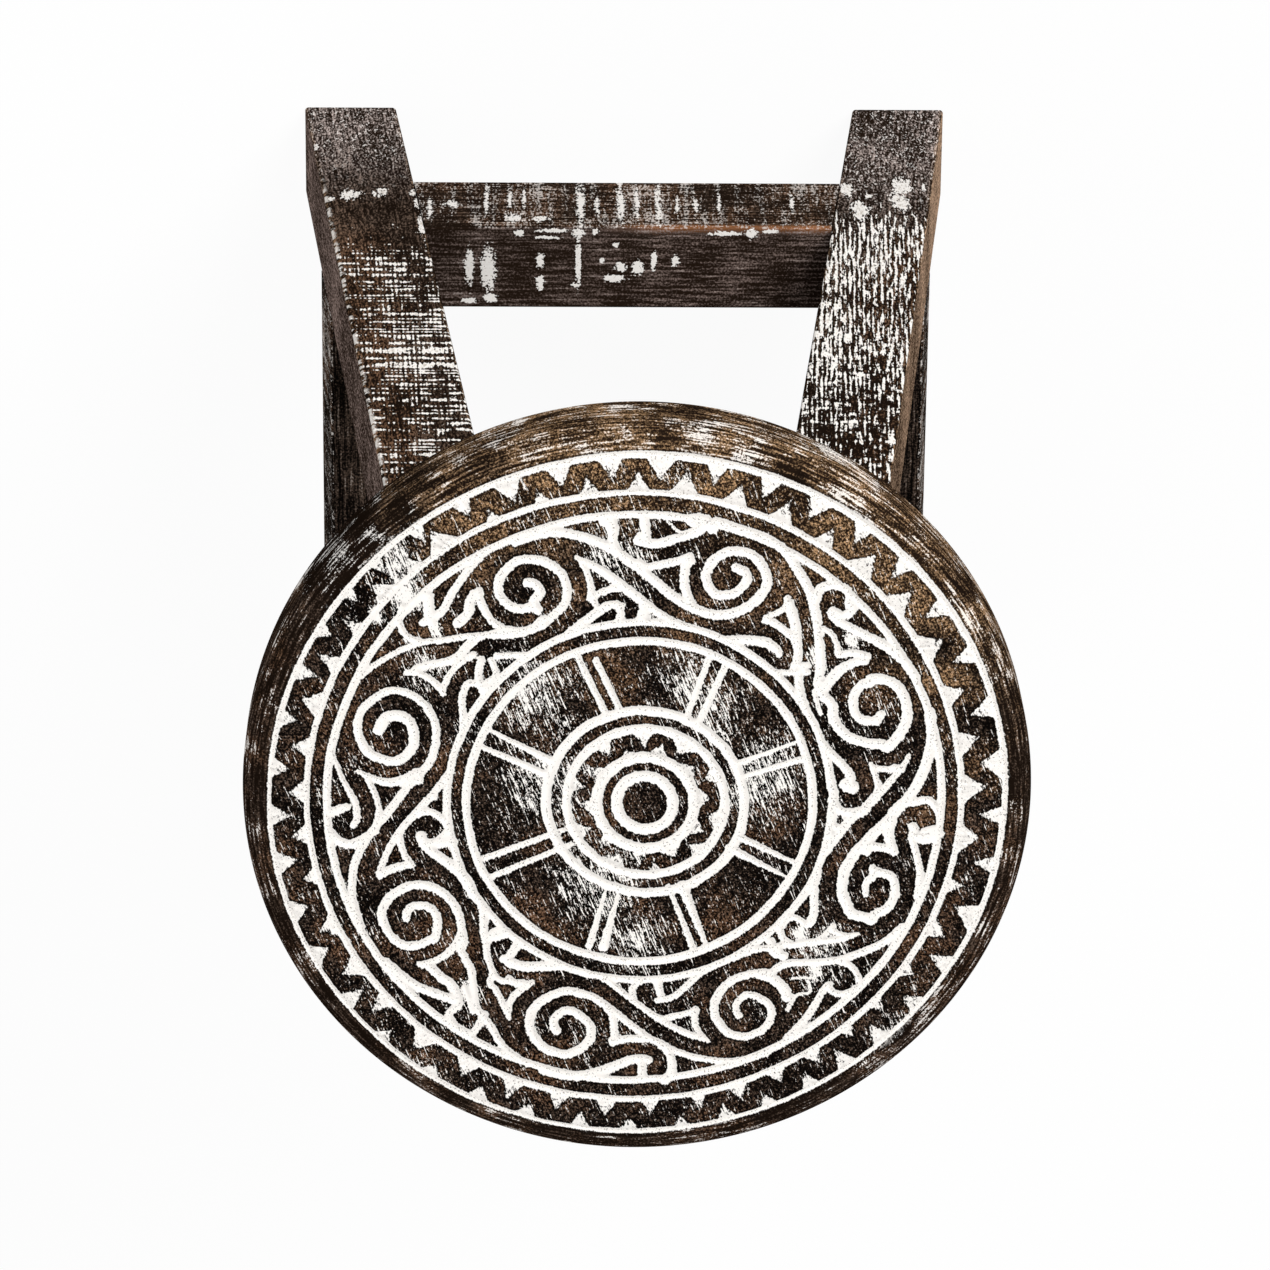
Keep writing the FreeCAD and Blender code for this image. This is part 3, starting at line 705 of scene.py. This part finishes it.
band_teeth = [
    (0.3, 9.3, 4.3, -0.2), (7.9, 9.7, 5.7, 0), (16.8, 9.3, 5.3, 0.2), (25.2, 9.3, 5.2, -0.4), (33.7, 8.6, 4.3, -0.4),
    (41.5, 9.9, 6.3, 0.4), (50.6, 9.9, 5.8, -0.8), (60, 9.3, 6.7, 0.4), (69.8, 8.8, 5, -0.8), (79.1, 9.1, 5.7, -2),
    (87.4, 9.7, 6.6, -0.4), (96.8, 8.1, 6.6, -1.2), (106, 7.3, 3.2, -1.6), (114.4, 8.5, 4.5, 1.6),
    (123.8, 5.6, 3.7, -0.6), (131.9, 5.9, 3.5, -0.2), (138.8, 6.1, 3.6, 0.4), (146.6, 6.7, 4.2, -0.6),
    (153.8, 6.9, 4.3, 0), (161.1, 8.3, 4, 0), (168.3, 6.8, 3.6, -0.8), (176.7, 6.8, 4.3, 0), (184.5, 8, 4.7, -0.4),
    (192.8, 8.4, 4.5, 0), (201.2, 9.6, 4.8, 0), (210.1, 8.1, 5.7, -1), (219, 9.5, 6.3, 0.2), (228.8, 9.3, 4.4, 0),
    (236.9, 8.5, 5.5, 0.4), (245.8, 7, 5.5, -0.4), (255.6, 6.1, 4.3, 0), (263.7, 6.8, 4.6, -0.4),
    (271.8, 7, 5.4, -0.6), (280.1, 7.9, 4.6, -0.4), (288.3, 8.5, 6.1, 0), (296.1, 9.8, 4, 1.2),
    (303.7, 8.4, 3.3, 0.6), (312.1, 7.7, 5.7, -1), (318.8, 7.3, 4.1, -0.4), (325.3, 9.2, 6.9, -1),
    (334.9, 6.6, 3.1, -0.4), (343.8, 6.8, 3.4, -1), (351.9, 8.3, 3.8, -0.2),
]
outer_hub_teeth = [
    (31.1, 7.2, 7, 0.6), (66.9, 6.8, 4.5, 0.4), (104, 6.1, 6.1, 0), (132.3, 7.3, 4.7, 3), (172.8, 6.8, 2.7, -0.6),
    (204.8, 6.5, 5.1, 1), (245.2, 6.9, 5, -1.2), (283.9, 6.8, 4.4, 0.4), (325.2, 8.1, 4.3, -0.2),
    (357, 8.4, 4.8, 0.8),
]
inner_hub_teeth = [
    (12.5, 6.6, 4.4, 0.6), (50, 5.5, 6.2, 0.6), (83, 6.1, 5.9, 0.6), (117.7, 6.8, 4.5, 0.4), (152.6, 6.4, 6.1, 0),
    (185.7, 8.4, 3.6, 0), (224.7, 7.4, 3.4, -0.8), (263.6, 6.6, 4.8, 1.6), (304.5, 7.4, 4, 0),
    (341.9, 4.9, 4.2, -0.6),
]
# Spoke grooves: half width at each end, then both ends
spokes = [
    ((1.4, 1.3), [(-18.1, -33.8), (-26.8, -59)]), ((1.5, 1.4), [(-22.6, -31), (-32.9, -55.6)]),
    ((1.4, 0.6), [(-37, -14.4), (-61.9, -24.5)]), ((1.1, 1.5), [(-38.6, -8.9), (-64.1, -17.3)]),
    ((1.6, 0.9), [(-38.2, 15.1), (-61.2, 26.6)]), ((2, 0.6), [(-35.2, 20.1), (-58.1, 32.5)]),
    ((2.2, 1), [(-17.3, 35.5), (-26.4, 59.5)]), ((0.9, 1.4), [(-12, 35.6), (-21.8, 61.8)]),
    ((0.6, 2), [(6.6, 36.7), (12.4, 61.4)]), ((0.6, 1.6), [(11.2, 35.4), (17.9, 60.7)]),
    ((1.2, 1.3), [(25.2, 18.5), (55.6, 32.1)]), ((1.2, 1.4), [(28.1, 12.7), (58, 24.4)]),
    ((1.7, 1.1), [(34.6, -10.1), (58.7, -21.3)]), ((1.8, 0.8), [(32.5, -15.4), (55.8, -28.1)]),
    ((1.4, 1.3), [(12, -34.6), (23.4, -58.7)]), ((1.4, 1.3), [(6.8, -36.4), (16.1, -56.7)]),
]
# Where paste was rubbed over the surface, and where it streaks along the grain: place and size
rubbed_places = [
    (88, -84, 12), (77, -71, 5), (99, -76, 5), (64, 78, 8), (-62, 55, 7), (-68, 70, 6), (-66, -60, 6), (-79, -66, 6),
    (-103, 102, 7), (-91, 112, 7),
]
streaky_places = [
    (40, -44, 22), (36, -8, 22), (14, 34, 26), (0, 58, 18), (-46, -8, 20), (-24, -42, 22), (82, -58, 13),
    (92, -98, 14), (-100, 100, 14), (-70, 62, 16), (10, -100, 18), (-52, -14, 18), (-17, -50, 18), (84, 116, 16),
]


# How finely rings and strokes are drawn, and how strokes lie side by side in a chipped tooth
ring_steps = 180
tooth_sides = (-0.8, -0.4, 0.0, 0.4, 0.8)
tooth_stroke_share = 0.22
tooth_tip = 0.1


def make_strokes(name, strokes, closed=False):
    """A curve of strokes, each with its half widths along the way and its points, in metres."""
    curve = bpy.data.curves.new(name, "CURVE")
    curve.dimensions = "3D"
    for half_widths, points in strokes:
        spline = curve.splines.new("POLY")
        spline.points.add(len(points) - 1)
        spline.use_cyclic_u = closed
        for number, (point, place) in enumerate(zip(spline.points, points)):
            point.co = (*place, 0.0, 1.0)
            stage = number / max(len(points) - 1, 1) * (len(half_widths) - 1)
            before = min(int(stage), len(half_widths) - 2)
            first, second = half_widths[before:before + 2]
            point.radius = first + (second - first) * (stage - before)
    return new_object(name, curve)


def in_pairs(strokes):
    """Strokes whose places were given as numbers in a row."""
    return [(widths, list(zip(numbers[::2], numbers[1::2]))) for widths, numbers in strokes]


def scaled(strokes, unit):
    return [([unit * width for width in widths], [(unit * x, unit * y) for x, y in points])
            for widths, points in strokes]


def ring_point(ring, turn, out=0.0):
    """A place on a carved ring, or further out from it."""
    x, y, radius, _, length_more, slant_more = ring
    reach = radius + length_more * math.cos(2 * turn) + slant_more * math.sin(2 * turn) + out
    return x + reach * math.cos(turn), y + reach * math.sin(turn)


def ring_stroke(ring):
    return ring[3], [ring_point(ring, math.tau * number / ring_steps) for number in range(ring_steps)]


def tooth_strokes(ring, teeth, direction, waist):
    """Strokes side by side that fill each tooth, from its ring to its tip."""
    strokes = []
    for angle, depth, half_width, lean in teeth:
        for side in tooth_sides:
            points = []
            for out, narrowing in ((0.0, 1.0), (0.5, waist), (1.0, 0.0)):
                along = side * half_width * narrowing + lean * out
                turn = -math.pi / 2 - math.radians(angle) - along / ring[2]
                points.append(ring_point(ring, turn, direction * depth * out))
            stroke_half = half_width * tooth_stroke_share
            strokes.append(((stroke_half, stroke_half * waist, tooth_tip), points))
    return strokes


def cut_at(tree, points, place):
    """How deep inside the nearest stroke a place is, below zero outside it, the way out from it, and how far."""
    index = tree.add("GeometryNodeSampleNearest", {"Geometry": points, "Sample Position": place}).outputs[0]

    def nearest(source, kind):
        inputs = {"Geometry": points, "Value": tree.nodes.new(source).outputs[0], "Index": index}
        return tree.add("GeometryNodeSampleIndex", inputs, data_type=kind).outputs[0]

    width = tree.field(nearest("GeometryNodeInputRadius", "FLOAT"))
    away = tree.vector_math("SUBTRACT", place, nearest("GeometryNodeInputPosition", "FLOAT_VECTOR"))[0]
    distance = tree.field(tree.vector_math("LENGTH", away)["Value"])
    return width - distance, away, distance


# The carved surface. Scales are per metre, and snap_reach, in point spacings, is how near to a groove's edge
# a point is drawn onto it.
curve_steps = 10
stray_scale = 130.0
unevenness_scale = 160.0
unevenness = 0.25 * mm
top_margin = 0.3 * mm
snap_reach = 0.36
far_outside = -5.0


def carving_tree():
    group = bpy.data.node_groups.new("seat_carving", "GeometryNodeTree")
    face = group.interface
    face.new_socket("Geometry", in_out="OUTPUT", socket_type="NodeSocketGeometry")
    face.new_socket("Geometry", in_out="INPUT", socket_type="NodeSocketGeometry")
    sockets = {}
    for name, kind, value in (
        ("Groove depth", "NodeSocketFloat", 1.15 * mm), ("Wall width", "NodeSocketFloat", 1.0 * mm),
        ("Hand wobble", "NodeSocketFloat", 0.5 * mm), ("Point spacing", "NodeSocketFloat", point_spacing),
        ("Stroke step", "NodeSocketFloat", 0.35 * mm), ("Carved radius", "NodeSocketFloat", carved_radius),
        ("Scroll grooves", "NodeSocketObject", None), ("Rings", "NodeSocketObject", None),
        ("Teeth and spokes", "NodeSocketObject", None), ("Rubbed places", "NodeSocketObject", None),
        ("Streaky places", "NodeSocketObject", None), ("Finish", "NodeSocketMaterial", None),
    ):
        sockets[name] = face.new_socket(name, in_out="INPUT", socket_type=kind)
        if value is not None:
            sockets[name].default_value = value
    tree = Tree(group)
    given = tree.nodes.new("NodeGroupInput").outputs
    size = {name: tree.field(given[name]) for name in sockets}

    def points_along(name):
        """The strokes of one of the given curves, smoothed, as close points with their half widths."""
        drawn = tree.add("GeometryNodeObjectInfo", {"Object": size[name]}).outputs["Geometry"]
        smooth = tree.add("GeometryNodeCurveSplineType", {"Curve": drawn}, spline_type="CATMULL_ROM")
        fine = tree.add("GeometryNodeSetSplineResolution", {"Geometry": smooth.outputs[0], "Resolution": curve_steps})
        even = tree.add(
            "GeometryNodeResampleCurve", {"Curve": fine.outputs[0], "Length": size["Stroke step"]}, mode="LENGTH"
        )
        return tree.add("GeometryNodeCurveToPoints", {"Curve": even.outputs[0]}, mode="EVALUATED").outputs[0]

    # Each point of the blank, as the carver's hand strays
    px, py, pz = tree.parts(tree.nodes.new("GeometryNodeInputPosition").outputs[0])
    flat_place = tree.vector(px, py, 0.0)
    stray = tree.noise(flat_place, stray_scale, roughness=0.5, output="Color")
    stray = tree.vector_math("SUBTRACT", stray, (0.5, 0.5, 0.5))[0]
    reach = tree.vector(size["Hand wobble"], size["Hand wobble"], 0.0)
    stray = tree.vector_math("MULTIPLY", stray, reach)[0]
    query = tree.vector_math("ADD", flat_place, stray)[0]

    cut, way, middle = cut_at(tree, points_along("Scroll grooves"), query)
    for name in ("Rings", "Teeth and spokes"):
        other_cut, other_way, other_middle = cut_at(tree, points_along(name), query)
        nearer = other_cut.above(cut)
        way = tree.add("ShaderNodeMix", {0: nearer, 4: way, 5: other_way}, data_type="VECTOR").outputs[1]
        cut = cut.highest(other_cut)
        middle = middle.lowest(other_middle)

    within = (size["Carved radius"] * 1.0001).above((px * px + py * py).root())
    is_top = pz.above(seat_top - top_margin) * within
    near_edge = (size["Point spacing"] * snap_reach).above(cut.size()) * is_top
    unit_way = tree.vector_math("NORMALIZE", way)[0]
    snap = tree.vector_math("SCALE", unit_way, Scale=cut * near_edge)[0]
    inside = (cut * near_edge.flipped() / size["Wall width"]).step(0.0, 1.0)
    uneven = (tree.noise(flat_place, unevenness_scale, roughness=0.5) - 0.3).highest(0.0) * unevenness
    sink = (inside * size["Groove depth"] + uneven) * is_top * -1.0
    shift = tree.vector_math("ADD", snap, tree.vector(0.0, 0.0, sink))[0]

    stored_values = [("groove", (cut / mm) * is_top + is_top.flipped() * far_outside), ("middle", middle / mm)]
    for name, attribute in (("Rubbed places", "rubbed"), ("Streaky places", "streaky")):
        reach, _, distance = cut_at(tree, points_along(name), query)
        stored_values.append((attribute, (reach / (reach + distance)).highest(0.0) * is_top))
    geometry = given["Geometry"]
    for name, value in stored_values:
        stored = tree.add(
            "GeometryNodeStoreNamedAttribute", {"Geometry": geometry, "Name": name, "Value": value},
            data_type="FLOAT", domain="POINT",
        )
        geometry = stored.outputs[0]
    carved = tree.add("GeometryNodeSetPosition", {"Geometry": geometry, "Offset": shift}).outputs[0]
    whole = tree.add("GeometryNodeRealizeInstances", {"Geometry": carved}).outputs[0]
    finished = tree.add("GeometryNodeSetMaterial", {"Geometry": whole, "Material": size["Finish"]}).outputs[0]
    tree.add("NodeGroupOutput", {0: finished})
    return group, sockets


def make_carved_seat(finish):
    rings = (rim_ring, tooth_ring, band_outside, band_inside, wheel_ring, hub_ring, hub_outside, hub_inside,
             hub_middle)
    teeth = (
        tooth_strokes(rim_ring, rim_teeth, -1, 0.5) + tooth_strokes(tooth_ring, band_teeth, 1, 0.45)
        + tooth_strokes(hub_outside, outer_hub_teeth, -1, 0.45) + tooth_strokes(hub_inside, inner_hub_teeth, 1, 0.45)
    )
    sources = {
        "Scroll grooves": make_strokes("scroll_grooves", scaled(in_pairs(scroll_grooves), tenth)),
        "Rings": make_strokes("rings", scaled([ring_stroke(ring) for ring in rings], mm), closed=True),
        "Teeth and spokes": make_strokes("teeth_and_spokes", scaled(teeth + spokes, mm)),
    }
    for name, places in (("Rubbed places", rubbed_places), ("Streaky places", streaky_places)):
        dabs = [((reach, reach), [(x, y), (x - 1, y + 3)]) for x, y, reach in places]
        sources[name] = make_strokes(name.lower().replace(" ", "_"), scaled(dabs, mm))
    blank = new_object("carved_seat", make_seat_blank())
    group, sockets = carving_tree()
    modifier = blank.modifiers.new("seat_carving", "NODES")
    modifier.node_group = group
    modifier[sockets["Finish"].identifier] = finish
    for name, carved in sources.items():
        modifier[sockets[name].identifier] = carved
    bpy.context.view_layer.update()
    evaluated = blank.evaluated_get(bpy.context.evaluated_depsgraph_get())
    mesh = bpy.data.meshes.new_from_object(evaluated)
    blank.modifiers.clear()
    blank.data = mesh
    for carved in sources.values():
        bpy.data.objects.remove(carved)
    for polygon in mesh.polygons:
        polygon.use_smooth = True
    return blank


# Pieces
seat = make_carved_seat(make_seat_material())
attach(seat, "root")
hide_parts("seat")


def finish_nodes(names, material):
    for name in names:
        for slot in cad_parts[name].material_slots:
            slot.material = material


finish_nodes([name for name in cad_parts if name.startswith("leg_")], make_leg_material("leg_stain", 0.0))
finish_nodes(["stretcher_screw_fillings"], make_leg_material("filling_stopping", 0.45))
finish_nodes(["stretcher_tenon_pins", "top_rail_tenon_pins"], make_leg_material("pin_stain", 0.1))
finish_nodes(["stretcher_front"], make_rail_material("front_stretcher_stain", True, True))
finish_nodes(
    ["stretcher_back", "top_rail_front", "top_rail_back"], make_rail_material("front_rail_stain", True, False)
)
finish_nodes(
    ["stretcher_left", "stretcher_right", "top_rail_left", "top_rail_right"],
    make_rail_material("side_rail_stain", False, False),
)
finish_nodes(["stretcher_screws", "seat_screws"], make_screw_material())

# Camera, as fitted to the photograph: its width and the focal length in pixels, the camera's place, and the
# turn from looking straight down at a stool that is half turned
photo_width = 1270
focal_length = 5986.2
camera_place = (0.0417, -0.8817, 2.5413)
camera_turn = Vector((0.3715, -0.0171, 0.0062))
looking_down = Matrix(((-1, 0, 0), (0, 1, 0), (0, 0, -1)))
camera = bpy.data.cameras.new("camera")
camera.sensor_width = 36.0
camera.lens = camera.sensor_width * focal_length / photo_width
camera.clip_end = 20.0
camera_object = new_object("camera", camera)
rows = Matrix.Rotation(camera_turn.length, 3, camera_turn) @ looking_down
aim = Matrix((rows[0], -rows[1], -rows[2])).transposed()
camera_object.matrix_world = Matrix.Translation(camera_place) @ aim.to_4x4()
bpy.context.scene.camera = camera_object


# Floor and light
pure_white = (1.0, 1.0, 1.0, 1.0)
floor_grey = (0.90, 0.90, 0.90, 1.0)
floor_glow = 0.94
floor_half = 6
floor_drop = 0.5 * mm
sky_light = 0.45
lamps_aim_at = Vector((0, 0, 0.3))


def make_floor():
    material, tree = new_material("white_floor")
    path = tree.add("ShaderNodeLightPath")
    seen = tree.field(path.outputs["Is Camera Ray"]).highest(tree.field(path.outputs["Is Glossy Ray"]))
    seen = seen.highest(tree.field(path.outputs["Is Transmission Ray"]))
    plain = tree.add("ShaderNodeBsdfDiffuse", {"Color": floor_grey})
    glow = tree.add("ShaderNodeEmission", {"Color": pure_white, "Strength": 1.0})
    mix = tree.add("ShaderNodeMixShader", {0: seen * floor_glow, 1: plain.outputs[0], 2: glow.outputs[0]})
    tree.add("ShaderNodeOutputMaterial", {"Surface": mix.outputs[0]})
    mesh = bpy.data.meshes.new("floor")
    corners = [(x * floor_half, y * floor_half, 0) for x, y in ((-1, -1), (1, -1), (1, 1), (-1, 1))]
    mesh.from_pydata(corners, [], [(0, 1, 2, 3)])
    mesh.materials.append(material)
    floor = new_object("floor", mesh)
    floor.location.z = -floor_drop


def make_lamp(name, place, size, power):
    lamp = bpy.data.lights.new(name, "AREA")
    lamp.size = size
    lamp.energy = power
    lamp_object = new_object(name, lamp)
    lamp_object.location = place
    lamp_object.rotation_euler = (lamps_aim_at - Vector(place)).to_track_quat("-Z", "Y").to_euler()


make_floor()
make_lamp("main_lamp", place=(-1.3, -1.5, 2.1), size=1.2, power=52.0)
make_lamp("soft_lamp", place=(1.6, 0.6, 2.4), size=1.8, power=20.0)
world = bpy.data.worlds.new("studio")
world.use_nodes = True
bpy.context.scene.world = world
sky = Tree(world.node_tree)
sky.nodes.clear()
seen_sky = sky.field(sky.add("ShaderNodeLightPath").outputs["Is Camera Ray"])
sky_strength = seen_sky * (1.0 - sky_light) + sky_light
backdrop = sky.add("ShaderNodeBackground", {"Color": pure_white, "Strength": sky_strength})
sky.add("ShaderNodeOutputWorld", {"Surface": backdrop.outputs[0]})

bpy.context.scene.view_settings.view_transform = "Standard"
